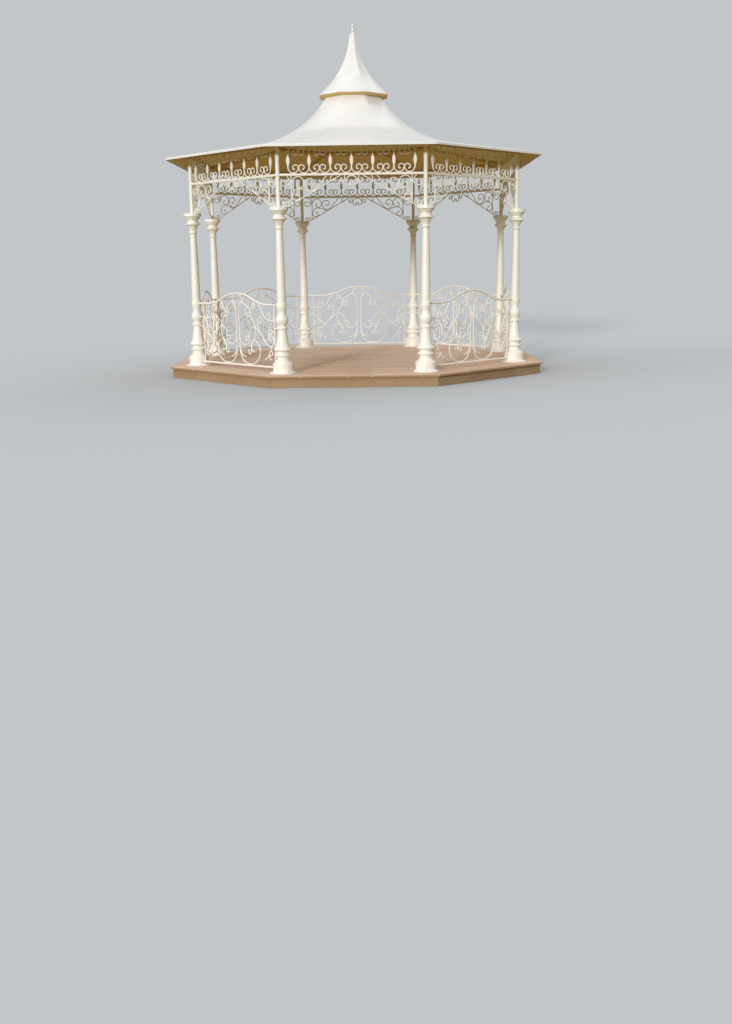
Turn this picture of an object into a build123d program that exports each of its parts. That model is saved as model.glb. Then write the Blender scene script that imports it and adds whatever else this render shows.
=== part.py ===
from build123d import *
import math
import os

# Octagonal garden gazebo. Millimetres, +Z up, origin on the ground under the roof's point.
# The open bay faces -Y. The eight bays are turned copies of the front one.

# Plan of the octagon
bays = 8
corner_radius = 2313

# Stone plinth
plinth_margin = 397
base_height = 120
paving_thickness = 30
paving_overhang = 30

# Storeys of the frame: floor to capital, bracket under the rail, rail to eaves beam
capital_height = 1990
bracket_height = 356
frieze_height = 320

# Foot of a turned column, heights above the floor
flange_radius = 170
flange_height = 22
drum_radius = 125
drum_height = 136
shoulder_rise = 6
torus_groove = 86
torus_height = 48
lower_torus_radius = 103
lower_torus_place = 232
upper_torus_radius = 112
upper_torus_place = 304
flare_hollow = 12
shaft_foot_radius = 56
bead_radius = 71
bead_height = 30
bead_place = 552
bulb_rise = 9
ring_radius = 63
ring_depth = 50
ring_chamfer = 16

# Head of a turned column, heights down from the capital's top
shaft_top_radius = 41
neck_ring_radius = 54
neck_ring_height = 36
neck_ring_drop = 246
bell_radius = 79
bell_drop = 154
bell_hollow = 5
saucer_radius = 99
saucer_rim = 10
saucer_drop = 134
waist_radius = 63
waist_drop = 90
waist_hollow = 6
underside_radius = 98
underside_drop = 54
capital_radius = 114
capital_rim = 38
post_width = 48

# Bars of the scrollwork
scroll_bar_width = 14
scroll_bar_thickness = 12
scroll_overlap = 3

# Frieze between the posts
rail_depth = 28
rail_thickness = 25
balusters = 7
baluster_thickness = 24
stem_half_width = 10
bulb_half_width = 24
bulb_offset = 20
waist_half_width = 22
bulb_reach = 64
crown_ratio = 0.55
eye_ratio = 0.3
pendant_run = ((70, -90), (36, -90), (22, -150))
hook_place = 84
hook_run = ((50, 0), (24, 180), (16, 120))

# Brackets between post, capital and rail, measured from the post's middle.
# A run is a row of (radius, turn in degrees) bends and (length, 0) straights.
bracket_toe = 108
bracket_reach = 752
bracket_bar_place = 161
fork_place = 378
fork_up_run = ((200, 26), (190, 0))
fork_down_run = ((118, -45), (79, -65), (53, -180), (22, -150))
upper_scroll_drop = 91
upper_scroll_run = ((84, -90), (80, -90), (58, -90), (38, -90), (22, -110))
lower_scroll_drop = 234
lower_scroll_up_run = ((88, -85), (400, -20))
lower_scroll_down_run = ((50, 90), (38, 90), (27, 90), (15, 60))
post_scroll_drop = 56
post_scroll_run = ((66, -90), (45, -90), (20, -150))

# Railing panels, heights above the floor
railing_end_height = 830
railing_crest_height = 968
railing_flat = 200
railing_bar = 24
bottom_rail_height = 60
stile_inset = 150
stem_gap = 58
foot_radius = 300
toe_radius = 150
oval_run = ((400, 22), (70, 68), (110, 0), (86, 90), (60, 35), (70, 0))
lyre_height = 220
lyre_run = ((80, -40), (62, 0), (50, 80), (75, 0))
link_run = ((150, 0),)
link_drop = 100
link_place = 92
link_heading = -40
sweep_height = 391
sweep_run = ((75, -90), (60, -45), (395, 0), (200, -45), (52, 180), (44, 90), (32, 90), (20, 60))
sweep_curl_run = ((60, 90), (30, 90), (18, 120))
bowl_height = 400
bowl_heading = -70
bowl_run = ((100, 70), (90, 90), (60, 0), (60, -70), (60, 0))
spray_height = 640
spray_run = ((90, 0), (170, -65), (60, 0), (120, 25), (60, 0))

# Roof: radii at the corners, rises from one stage to the next
eaves_overhang = 322
fascia_height = 30
fascia_thickness = 20
shell_thickness = 10
flare_radius = 1420
flare_rise = 187
neck_radius = 403
neck_rise = 643
collar_radius = 500
collar_lip = 28
spire_height = 782
spire_sweep_radius = 80
spire_sweep_rise = 337
spire_top_radius = 48
eaves_beam_width = 50
eaves_beam_depth = 40
ring_beam_radius = 1160
ring_beam_width = 40
ring_beam_depth = 40
rafter_width = 40
rafter_depth = 40

# Finial on the spire, heights above its cap
cap_thickness = 14
cap_neck_height = 34
finial_stem_radius = 8
ball_radius = 20
ball_height = 40
ball_place = 60
bud_radius = 14
bud_height = 44
bud_place = 118
finial_tip_radius = 3
finial_height = 152

# Turn of one chord in a bent bar, and the play at the columns
bend_step = 75
rail_bend_step = 13
seat_clearance = 0.3

bay_angle = 360 / bays
across_flats = math.cos(math.radians(bay_angle / 2))
half_bay = math.sin(math.radians(bay_angle / 2))
bay_apothem = corner_radius * across_flats
bay_half_length = corner_radius * half_bay
floor_level = base_height + paving_thickness
rail_underside = capital_height + bracket_height
rail_height = rail_underside + rail_depth / 2
beam_bottom = rail_height + frieze_height
ring_height = railing_end_height + railing_bar / 2
corner_names = ["front_left", "front_right", "right_front", "right_back",
                "back_right", "back_left", "left_back", "left_front"]
bay_names = ["front", "front_right", "right", "back_right",
             "back", "back_left", "left", "front_left"]


def bay_plane(height):
    """Upright plane of the front bay, with its origin at the bay's middle, a height above the floor."""
    origin = (0, -bay_apothem, floor_level + height)
    return Plane(origin=origin, x_dir=(1, 0, 0), z_dir=(0, -1, 0))


def hip_plane(side):
    """Upright plane through the roof's point and one end of the front bay, facing out of the bay."""
    return Plane(origin=(0, 0, 0), z_dir=(side * across_flats, half_bay, 0))


def octagon(apothem, mode=Mode.ADD):
    """Octagon with a flat side to each bay."""
    RegularPolygon(apothem, bays, major_radius=False, rotation=bay_angle / 2, mode=mode)


def flat_bar(start, heading, runs, width=scroll_bar_width, step=bend_step):
    """Flat bar that follows a row of tangent bends and straights, laid out in chords."""
    place = Vector(*start)
    left, right = [], []

    def add_edges():
        side = Vector(width / 2, 0).rotate(Axis.Z, heading + 90)
        left.append(place + side)
        right.append(place - side)

    add_edges()
    for size, turn in runs:
        chords = max(1, math.ceil(abs(turn) / step))
        bend = turn / chords
        length = 2 * size * math.sin(math.radians(abs(bend) / 2)) if turn else size
        for _ in range(chords):
            place += Vector(length, 0).rotate(Axis.Z, heading + bend / 2)
            heading += bend
            add_edges()
    Polygon(*left, *reversed(right))


def turned_ring(place, height, radius, groove):
    """Round edge of a turned ring, from the groove under it to the groove over it."""
    return SagittaArc((groove, place - height / 2), (groove, place + height / 2), groove - radius)


def export_around(master, prefix, names):
    """One labelled copy of the master for each name, turned on from bay to bay."""
    for turn, place in enumerate(names):
        if place is None:
            continue
        with BuildPart() as copy:
            with Locations(Location((0, 0, 0), (0, 0, turn * bay_angle))):
                add(master.part)
        copy.part.label = f"{prefix}_{place}"
        export_step(copy.part, f"parts/{copy.part.label}.step")


os.makedirs("parts", exist_ok=True)

# Stone base, set back under the edge of the paving
plinth_apothem = (corner_radius + plinth_margin) * across_flats
with BuildPart() as plinth_base:
    with BuildSketch():
        octagon(plinth_apothem - paving_overhang)
    extrude(amount=base_height)
plinth_base.part.label = "plinth_base"
export_step(plinth_base.part, "parts/plinth_base.step")

# Paving, one layer with its overhanging edge
with BuildPart() as plinth_paving:
    with BuildSketch(Plane.XY.offset(base_height)):
        octagon(plinth_apothem)
    extrude(amount=paving_thickness)
plinth_paving.part.label = "plinth_paving"
export_step(plinth_paving.part, "parts/plinth_paving.step")

# Turned column: flange, drum, two tori, flare, bead, bulb, railing ring, shaft, bell, saucer and capital
saucer_top = capital_height - saucer_drop
with BuildPart() as column:
    with BuildSketch(Plane.XZ):
        with BuildLine():
            foot = Polyline((0, 0), (flange_radius, 0), (flange_radius, flange_height),
                            (drum_radius, flange_height), (drum_radius, drum_height))
            lower_torus = turned_ring(lower_torus_place, torus_height, lower_torus_radius, torus_groove)
            SagittaArc(foot @ 1, lower_torus @ 0, -shoulder_rise)
            upper_torus = turned_ring(upper_torus_place, torus_height, upper_torus_radius, torus_groove)
            Line(lower_torus @ 1, upper_torus @ 0)
            bead = turned_ring(bead_place, bead_height, bead_radius, shaft_foot_radius)
            SagittaArc(upper_torus @ 1, bead @ 0, flare_hollow)
            ring = Polyline((shaft_foot_radius, ring_height - ring_depth),
                            (ring_radius, ring_height - ring_depth), (ring_radius, ring_height),
                            (shaft_foot_radius, ring_height + ring_chamfer))
            SagittaArc(bead @ 1, ring @ 0, -bulb_rise)
            neck = turned_ring(capital_height - neck_ring_drop, neck_ring_height,
                               neck_ring_radius, shaft_top_radius)
            Line(ring @ 1, neck @ 0)
            saucer = Polyline((bell_radius, capital_height - bell_drop),
                              (saucer_radius, saucer_top - saucer_rim), (saucer_radius, saucer_top))
            SagittaArc(neck @ 1, saucer @ 0, bell_hollow)
            capital = Polyline((waist_radius, capital_height - waist_drop),
                               (underside_radius, capital_height - underside_drop),
                               (capital_radius, capital_height - capital_rim),
                               (capital_radius, capital_height), (0, capital_height), foot @ 0)
            SagittaArc(saucer @ 1, capital @ 0, waist_hollow)
        make_face()
    revolve(axis=Axis.Z)
    with BuildSketch(Plane.XY.offset(capital_height)):
        octagon(post_width / 2)
    extrude(amount=beam_bottom - capital_height)
with BuildPart() as corner_column:
    with Locations((-bay_half_length, -bay_apothem, floor_level)):
        add(column.part)
export_around(corner_column, "column", corner_names)

# One pair of scrolls between two balusters, about the middle of their gap
bar_seat = scroll_bar_width / 2 - scroll_overlap
baluster_pitch = 2 * bay_half_length / balusters
loop_radius = (baluster_pitch / 2 - stem_half_width + bar_seat) / 2
loop_middle = rail_depth / 2 + bar_seat + loop_radius
with BuildSketch() as scroll_pair:
    flat_bar((stem_half_width - scroll_bar_width / 2 - baluster_pitch / 2, loop_middle), -90,
             ((loop_radius, 180), (loop_radius * crown_ratio, 180), (loop_radius * eye_ratio, 120)))
    mirror(about=Plane.YZ)

# One baluster with its double bulb, symmetric about the middle of the frieze
frieze_middle = (rail_depth / 2 + frieze_height) / 2
with BuildSketch() as baluster:
    Polygon((0, rail_depth / 2), (stem_half_width, rail_depth / 2),
            (stem_half_width, frieze_middle - bulb_reach), (bulb_half_width, frieze_middle - bulb_offset),
            (waist_half_width, frieze_middle), (0, frieze_middle))
    mirror(about=Plane.YZ)
    mirror(about=Plane.XZ.offset(-frieze_middle))

# Frieze of one bay: rail, balusters up to the eaves beam, scroll pairs between them, pendant below
with BuildPart() as frieze:
    with BuildSketch(bay_plane(rail_height)):
        with GridLocations(baluster_pitch, 1, balusters - 1, 1):
            add(scroll_pair.sketch)
    extrude(amount=scroll_bar_thickness / 2, both=True)
    with BuildSketch(bay_plane(rail_height)):
        with GridLocations(baluster_pitch, 1, balusters, 1):
            add(baluster.sketch)
    extrude(amount=baluster_thickness / 2, both=True)
    with BuildSketch(bay_plane(rail_height)):
        Rectangle(2 * bay_half_length - post_width, rail_depth)
    extrude(amount=rail_thickness / 2, both=True)
    with BuildSketch(bay_plane(rail_underside)):
        flat_bar((0, -bar_seat), 0, pendant_run)
        flat_bar((hook_place, 0), -90, hook_run)
        mirror(about=Plane.YZ)
    extrude(amount=scroll_bar_thickness / 2, both=True)
export_around(frieze, "frieze", bay_names)

# Bracket in the corner over a capital, its origin on the post's axis at the capital's top
bracket_slope = math.degrees(math.atan2(bracket_height, bracket_reach - bracket_toe))
diagonal_length = math.hypot(bracket_reach - bracket_toe, bracket_height)
scroll_place = bracket_bar_place + scroll_bar_width - scroll_overlap
fork_seat = Vector(fork_place, scroll_bar_width - scroll_overlap).rotate(Axis.Z, bracket_slope)
fork_start = (bracket_toe + fork_seat.X, fork_seat.Y)
bar_foot = (bracket_bar_place - bracket_toe) * math.tan(math.radians(bracket_slope))
with BuildSketch() as bracket_outline:
    flat_bar((bracket_toe, 0), bracket_slope, ((diagonal_length, 0),))
    flat_bar((bracket_bar_place, bar_foot), 90, ((bracket_height - bar_foot, 0),))
    flat_bar(fork_start, bracket_slope, fork_up_run)
    flat_bar(fork_start, bracket_slope + 180, fork_down_run)
    flat_bar((scroll_place, bracket_height - upper_scroll_drop), 90, upper_scroll_run)
    flat_bar((scroll_place, bracket_height - lower_scroll_drop), 90, lower_scroll_up_run)
    flat_bar((scroll_place, bracket_height - lower_scroll_drop), -90, lower_scroll_down_run)
    flat_bar((2 * bracket_bar_place - scroll_place, bracket_height - post_scroll_drop), -90,
             post_scroll_run)
    with Locations((post_width / 2, 0)):
        Rectangle(bracket_reach - post_width / 2, bracket_height, align=(Align.MIN, Align.MIN),
                  mode=Mode.INTERSECT)

# Two brackets of one column, one in each of its bays
with BuildPart() as brackets:
    with BuildSketch(bay_plane(capital_height)):
        with Locations((-bay_half_length, 0)):
            add(bracket_outline.sketch)
    extrude(amount=scroll_bar_thickness / 2, both=True)
    mirror(about=hip_plane(-1))
export_around(brackets, "brackets", corner_names)

# Railing panel: top rail with its raised middle, bottom rail, stiles, and between them twin stems that
# open into a lyre above and an oval below, a long sweep, a bowl at the stem and a spray under the rail
rise_run = bay_half_length - ring_radius - railing_flat
rail_rise = railing_crest_height - railing_end_height
wave_turn = 2 * math.degrees(math.atan2(rail_rise, rise_run))
wave_radius = rise_run / 2 / math.sin(math.radians(wave_turn))
top_rail_run = ((railing_flat - seat_clearance, 0), (wave_radius, wave_turn), (wave_radius, -wave_turn),
                (wave_radius, -wave_turn), (wave_radius, wave_turn), (railing_flat - seat_clearance, 0))
stile_place = bay_half_length - stile_inset
stile_seat = stile_place - scroll_bar_width + scroll_overlap
stile_height = railing_end_height - bottom_rail_height
eighth = math.sin(math.radians(45))
stem_drop = foot_radius * eighth + toe_radius * (1 - eighth)
stem_foot = bottom_rail_height + railing_bar / 2 + bar_seat + stem_drop
lyre_foot = railing_crest_height - lyre_height
stem_seat = stem_gap / 2 + scroll_bar_width - scroll_overlap
with BuildPart() as railing:
    with BuildSketch(bay_plane(0)):
        flat_bar((stem_gap / 2, stem_foot), 90, ((lyre_foot - stem_foot, 0), *lyre_run))
        flat_bar((stem_gap / 2, stem_foot), -90, ((foot_radius, 45), (toe_radius, 45), *oval_run))
        flat_bar((link_place, railing_crest_height - link_drop), link_heading, link_run)
        flat_bar((stile_seat, sweep_height), -90, sweep_run)
        flat_bar((stile_seat, sweep_height), 90, sweep_curl_run)
        flat_bar((stem_seat, bowl_height), bowl_heading, bowl_run)
        flat_bar((stile_place, spray_height), 180, spray_run)
        with Locations((stile_place, bottom_rail_height + stile_height / 2)):
            Rectangle(scroll_bar_width, stile_height)
        mirror(about=Plane.YZ)
    extrude(amount=scroll_bar_thickness / 2, both=True)
    with BuildSketch(bay_plane(0)):
        flat_bar((ring_radius + seat_clearance - bay_half_length, railing_end_height), 0, top_rail_run,
                 width=railing_bar, step=rail_bend_step)
        with Locations((0, bottom_rail_height)):
            Rectangle(2 * (bay_half_length - drum_radius - seat_clearance), railing_bar)
    extrude(amount=railing_bar / 2, both=True)
export_around(railing, "railing", [None] + bay_names[1:])

# Eaves beam, an octagonal ring on the posts
beam_apothem = bay_apothem + eaves_beam_width / 2
with BuildPart() as eaves_beam:
    with BuildSketch(Plane.XY.offset(floor_level + beam_bottom)):
        octagon(beam_apothem)
        octagon(beam_apothem - eaves_beam_width, mode=Mode.SUBTRACT)
    extrude(amount=eaves_beam_depth)
eaves_beam.part.label = "eaves_beam"
export_step(eaves_beam.part, "parts/eaves_beam.step")

# The roof's curve across the flats: a straight flare on the beam, then a hollow arc to the neck
eaves_apothem = (corner_radius + eaves_overhang) * across_flats
flare_apothem = flare_radius * across_flats
neck_apothem = neck_radius * across_flats
flare_slope = flare_rise / (eaves_apothem - flare_apothem)
shell_drop = shell_thickness * math.hypot(1, flare_slope)
beam_seat = beam_bottom + eaves_beam_depth
eaves_top = beam_seat + shell_drop - (eaves_apothem - beam_apothem) * flare_slope
flare_height = eaves_top + flare_rise
neck_height = flare_height + neck_rise

# Roof panel over one bay, cut off at both hips
section_plane = Plane(origin=(0, 0, floor_level), x_dir=(0, -1, 0), z_dir=(-1, 0, 0))
with BuildPart() as roof_panel:
    with BuildSketch(section_plane):
        with BuildLine():
            flare = Line((eaves_apothem, eaves_top), (flare_apothem, flare_height))
            hollow = TangentArc(flare @ 1, (neck_apothem, neck_height), tangent=flare % 1)
            offset(amount=shell_thickness, side=Side.LEFT)
        make_face()
        with Locations((eaves_apothem, eaves_top)):
            Rectangle(fascia_thickness, fascia_height, align=(Align.MAX, Align.MAX))
    extrude(amount=eaves_apothem, both=True)
    split(bisect_by=hip_plane(1), keep=Keep.BOTTOM)
    split(bisect_by=hip_plane(-1), keep=Keep.BOTTOM)
export_around(roof_panel, "roof_panel", bay_names)

# One rafter under a hip, its outer end against the eaves beam
ring_outer = ring_beam_radius * across_flats + ring_beam_width / 2
rafter_rise = (corner_radius - ring_beam_radius) * across_flats * flare_slope
rafter_drop = (eaves_beam_width + rafter_width * half_bay) / 2 * flare_slope
rafter_foot = (corner_radius, beam_seat + rafter_drop - rafter_width * half_bay * flare_slope)
rafter_head = (ring_beam_radius, rafter_foot[1] + rafter_rise)
with BuildPart() as rafter:
    with BuildSketch(Plane(origin=(0, 0, floor_level), x_dir=(1, 0, 0), z_dir=(0, -1, 0))):
        Polygon(rafter_foot, rafter_head, (rafter_head[0], rafter_head[1] - rafter_depth),
                (rafter_foot[0], rafter_foot[1] - rafter_depth))
    extrude(amount=rafter_width / 2, both=True)

# Roof frame: eight rafters and the ring beam inside, which touches the hollow of the roof
hollow_reach = hollow.radius + shell_thickness
hollow_drop = math.sqrt(hollow_reach ** 2 - (hollow.arc_center.X - ring_outer) ** 2)
ring_beam_top = hollow.arc_center.Y - hollow_drop
with BuildPart() as roof_frame:
    with PolarLocations(0, bays, start_angle=bay_angle / 2):
        add(rafter.part)
    with BuildSketch(Plane.XY.offset(floor_level)):
        octagon(beam_apothem - eaves_beam_width)
        octagon(ring_outer - ring_beam_width / 2, mode=Mode.SUBTRACT)
    extrude(amount=neck_height, mode=Mode.INTERSECT)
    with BuildSketch(Plane.XY.offset(floor_level + ring_beam_top - ring_beam_depth)):
        octagon(ring_outer)
        octagon(ring_outer - ring_beam_width, mode=Mode.SUBTRACT)
    extrude(amount=ring_beam_depth)
roof_frame.part.label = "roof_frame"
export_step(roof_frame.part, "parts/roof_frame.step")

# Spire: eight hollow faces over a flat collar that caps the roof's neck
collar_apothem = collar_radius * across_flats
lip_top = neck_height + collar_lip
spire_top = lip_top + spire_height
spire_tip = (spire_top_radius * across_flats, spire_top)
spire_sweep = (spire_sweep_radius * across_flats, lip_top + spire_sweep_rise)
with BuildPart() as spire:
    for turn in range(bays // 2):
        with BuildSketch(section_plane.rotated((0, 0, turn * bay_angle))):
            with BuildLine():
                lip = Polyline((0, spire_top), (0, neck_height), (collar_apothem, neck_height),
                               (collar_apothem, lip_top))
                Bezier(lip @ 1, spire_sweep, spire_tip)
                Line(spire_tip, lip @ 0)
            make_face()
            mirror(about=Plane.YZ)
        extrude(amount=collar_radius, both=True, mode=Mode.INTERSECT if turn else Mode.ADD)
spire.part.label = "spire"
export_step(spire.part, "parts/spire.step")

# Turned finial: cap, stem, ball and bud
with BuildPart() as finial:
    with BuildSketch(Plane.XZ):
        with BuildLine():
            ball = turned_ring(ball_place, ball_height, ball_radius, finial_stem_radius)
            bud = turned_ring(bud_place, bud_height, bud_radius, finial_stem_radius)
            Polyline((0, 0), (spire_top_radius, 0), (spire_top_radius, cap_thickness),
                     (finial_stem_radius, cap_neck_height), ball @ 0)
            Line(ball @ 1, bud @ 0)
            Polyline(bud @ 1, (finial_tip_radius, finial_height), (0, finial_height), (0, 0))
        make_face()
    revolve(axis=Axis.Z)
with BuildPart() as placed_finial:
    with Locations((0, 0, floor_level + spire_top)):
        add(finial.part)
placed_finial.part.label = "finial"
export_step(placed_finial.part, "parts/finial.step")
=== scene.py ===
import math
import random

import bmesh
import bpy
from mathutils import Matrix, Vector


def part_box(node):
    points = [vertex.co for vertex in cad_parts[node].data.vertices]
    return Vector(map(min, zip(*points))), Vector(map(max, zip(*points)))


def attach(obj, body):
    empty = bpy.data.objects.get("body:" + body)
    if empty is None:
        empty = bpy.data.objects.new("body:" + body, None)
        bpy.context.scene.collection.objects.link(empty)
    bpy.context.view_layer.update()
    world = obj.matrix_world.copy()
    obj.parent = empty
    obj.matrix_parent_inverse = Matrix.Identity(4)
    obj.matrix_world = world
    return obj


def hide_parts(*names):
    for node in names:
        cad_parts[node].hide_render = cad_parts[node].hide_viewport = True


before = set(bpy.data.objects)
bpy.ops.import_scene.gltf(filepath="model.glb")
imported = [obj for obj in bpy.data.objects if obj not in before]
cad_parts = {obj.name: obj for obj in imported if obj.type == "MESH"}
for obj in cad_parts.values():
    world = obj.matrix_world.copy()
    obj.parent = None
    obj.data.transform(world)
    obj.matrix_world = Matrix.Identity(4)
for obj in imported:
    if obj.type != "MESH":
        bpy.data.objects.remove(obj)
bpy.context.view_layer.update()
scene = bpy.context.scene

# Core of the plinth: rubble and lime mortar behind the edge stones, levelled off under the flags.
# Only its joints show, a little sunk, between the stones and between the flags.
mm = 0.001
bays = 8
bay_turn = 2 * math.pi / bays
# Of an octagon, the apothem as a share of the corner radius, and half a side as a share of the apothem
apothem_share = math.cos(bay_turn / 2)
half_side_share = math.tan(bay_turn / 2)
base_low, base_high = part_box("plinth_base")
paving_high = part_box("plinth_paving")[1]
stone_joint_depth = 5 * mm
flag_joint_depth = 2 * mm
edge_joint_depth = 6 * mm
mortar_colours = ("#d0c1a9", "#dfd1bd")
weathered_mortar = "#a98d6c"
weathered_from = 10 * mm
mortar_grain = 6 * mm
mortar_relief = mortar_grain / 6


def linear(hex_code):
    """An sRGB hex colour as linear red, green, blue and alpha."""
    channels = [int(hex_code[place:place + 2], 16) / 255 for place in (1, 3, 5)]
    return (*[c / 12.92 if c <= 0.04045 else ((c + 0.055) / 1.055) ** 2.4 for c in channels], 1)


def add_node(tree, kind, inputs=None, **settings):
    """One node with its settings; each input is given a value, or linked to another node's output."""
    made = tree.nodes.new(kind)
    for name, value in settings.items():
        setattr(made, name, value)
    for name, value in (inputs or {}).items():
        if isinstance(value, bpy.types.NodeSocket):
            tree.links.new(value, made.inputs[name])
        else:
            made.inputs[name].default_value = value
    return made


def start_material(name, roughness):
    """A new material, its node tree, its shader and the place on the piece that its patterns read."""
    material = bpy.data.materials.new(name)
    material.use_nodes = True
    tree = material.node_tree
    shader = tree.nodes["Principled BSDF"]
    shader.inputs["Roughness"].default_value = roughness
    place = add_node(tree, "ShaderNodeTexCoord").outputs["Object"]
    return material, tree, shader, place


def coat(tree, shader, colour, relief):
    """Gives a shader its colour and its relief from the last nodes of its patterns."""
    tree.links.new(colour.outputs[2], shader.inputs["Base Color"])
    tree.links.new(relief.outputs["Normal"], shader.inputs["Normal"])


def make_piece(name, mesh, material, sharp_angle=35):
    """A named object for a finished mesh, smooth apart from its sharp edges, with one material."""
    mesh.name = name
    mesh.materials.clear()
    mesh.materials.append(material)
    mesh.shade_smooth()
    mesh.set_sharp_from_angle(angle=math.radians(sharp_angle))
    piece = bpy.data.objects.new(name, mesh)
    scene.collection.objects.link(piece)
    return piece


def as_mesh(shape):
    """The mesh of a bmesh, with its faces turned outwards."""
    bmesh.ops.recalc_face_normals(shape, faces=shape.faces)
    mesh = bpy.data.meshes.new("shape")
    shape.to_mesh(mesh)
    shape.free()
    return mesh


def add_prism(shape, outline, low, high):
    """Adds an upright prism over a plan outline to a bmesh and gives its faces."""
    foot = [shape.verts.new((x, y, low)) for x, y in outline]
    head = [shape.verts.new((x, y, high)) for x, y in outline]
    faces = [shape.faces.new(foot), shape.faces.new(head)]
    for start in range(len(outline)):
        end = (start + 1) % len(outline)
        faces.append(shape.faces.new((foot[start], foot[end], head[end], head[start])))
    return faces


def octagon(apothem):
    """Plan corners of an octagon with a flat side to each bay."""
    reach = apothem / apothem_share
    turns = [(side + 0.5) * bay_turn for side in range(bays)]
    return [(reach * math.cos(turn), reach * math.sin(turn)) for turn in turns]


# Lime mortar, struck by hand: rough, dull and sandy, pale between the flags and weathered down the side.
# In each material a Mix node's inputs go by number: 0 is the share, 2 and 3 are values, 6 and 7 colours.
lime_mortar, tree, shader, place = start_material("lime_mortar", roughness=0.95)
grains = add_node(tree, "ShaderNodeTexNoise", {"Vector": place, "Scale": 1 / mortar_grain, "Detail": 4})
tone = add_node(tree, "ShaderNodeMix", {0: grains.outputs["Fac"], 6: linear(mortar_colours[0]),
                                        7: linear(mortar_colours[1])}, data_type="RGBA")
height = add_node(tree, "ShaderNodeSeparateXYZ", {0: place})
fresh = add_node(tree, "ShaderNodeMapRange",
                 {"Value": height.outputs["Z"], "From Min": base_high.z - weathered_from,
                  "From Max": base_high.z})
aged = add_node(tree, "ShaderNodeMix",
                {0: fresh.outputs[0], 6: linear(weathered_mortar), 7: tone.outputs[2]}, data_type="RGBA")
relief = add_node(tree, "ShaderNodeBump", {"Height": grains.outputs["Fac"], "Distance": mortar_relief})
coat(tree, shader, aged, relief)

shape = bmesh.new()
add_prism(shape, octagon(base_high.x - stone_joint_depth), base_low.z, base_high.z)
add_prism(shape, octagon(paving_high.x - edge_joint_depth), base_high.z, paving_high.z - flag_joint_depth)
plinth_core = make_piece("plinth_core", as_mesh(shape), lime_mortar)
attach(plinth_core, "root")

# Edge stones of the plinth: sawn sandstone blocks bedded on edge in one course, mitred at the corners,
# their outer faces left slightly rough. They carry the overhanging edge of the flags.
stones_a_side = 4
stone_depth = 150 * mm
stone_joint = 8 * mm
stone_arris = 4 * mm
stone_wave = 3 * mm
stone_seed = 5
long_edge = 100 * mm
long_edge_cuts = 5
stone_colours = ("#987959", "#b79a78")
stone_grain = 9 * mm
stone_relief = stone_grain / 5
stone_patch = 260 * mm
own_stone_share = 0.5
stone_grit_share = 0.25
tone_seed = 3


def turning_tree(name, bars):
    """Tree that turns copies of one bay's geometry round the plan. With bars, each line of edges is first
    drawn out as a bar. Every separate stone or bar is given a shade of its own, as the value tone."""
    tree = bpy.data.node_groups.new(name, "GeometryNodeTree")
    sockets = [("Geometry", "Geometry"), ("Copies", "Int"), ("First copy", "Int"), ("Turn", "Float"),
               ("Material", "Material")]
    if bars:
        sockets += [("Bar width", "Float"), ("Bar thickness", "Float"), ("Bar corner", "Float")]
    for label, kind in sockets:
        tree.interface.new_socket(label, in_out="INPUT", socket_type="NodeSocket" + kind)
    tree.interface.new_socket("Geometry", in_out="OUTPUT", socket_type="NodeSocketGeometry")
    given = add_node(tree, "NodeGroupInput").outputs
    geometry = given["Geometry"]
    if bars:
        line = add_node(tree, "GeometryNodeMeshToCurve", {"Mesh": geometry})
        flat = add_node(tree, "GeometryNodeSetCurveNormal", {"Curve": line.outputs[0], "Normal": (0, 1, 0)},
                        mode="FREE")
        section = add_node(tree, "GeometryNodeCurvePrimitiveQuadrilateral",
                           {"Width": given["Bar thickness"], "Height": given["Bar width"]})
        eased = add_node(tree, "GeometryNodeFilletCurve", {"Curve": section.outputs[0],
                                                           "Radius": given["Bar corner"]}, mode="POLY")
        swell = add_node(tree, "GeometryNodeInputNamedAttribute", {"Name": "swell"}, data_type="FLOAT")
        drawn = add_node(tree, "GeometryNodeCurveToMesh",
                         {"Curve": flat.outputs[0], "Profile Curve": eased.outputs[0],
                          "Scale": swell.outputs["Attribute"], "Fill Caps": True})
        geometry = drawn.outputs[0]
    count = add_node(tree, "GeometryNodeInputIndex")
    number = add_node(tree, "ShaderNodeMath", {0: count.outputs[0], 1: given["First copy"]},
                      operation="ADD")
    angle = add_node(tree, "ShaderNodeMath", {0: number.outputs[0], 1: given["Turn"]},
                     operation="MULTIPLY")
    about = add_node(tree, "FunctionNodeAxisAngleToRotation",
                     {"Axis": (0, 0, 1), "Angle": angle.outputs[0]})
    stands = add_node(tree, "GeometryNodePoints", {"Count": given["Copies"]})
    copies = add_node(tree, "GeometryNodeInstanceOnPoints",
                      {"Points": stands.outputs[0], "Instance": geometry, "Rotation": about.outputs[0]})
    real = add_node(tree, "GeometryNodeRealizeInstances", {"Geometry": copies.outputs[0]})
    island = add_node(tree, "GeometryNodeInputMeshIsland")
    shade = add_node(tree, "FunctionNodeRandomValue",
                     {"ID": island.outputs["Island Index"], "Seed": tone_seed})
    toned = add_node(tree, "GeometryNodeStoreNamedAttribute",
                     {"Geometry": real.outputs[0], "Name": "tone", "Value": shade.outputs[1]},
                     data_type="FLOAT", domain="POINT")
    coated = add_node(tree, "GeometryNodeSetMaterial",
                      {"Geometry": toned.outputs[0], "Material": given["Material"]})
    add_node(tree, "NodeGroupOutput", {"Geometry": coated.outputs[0]})
    return tree


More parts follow.
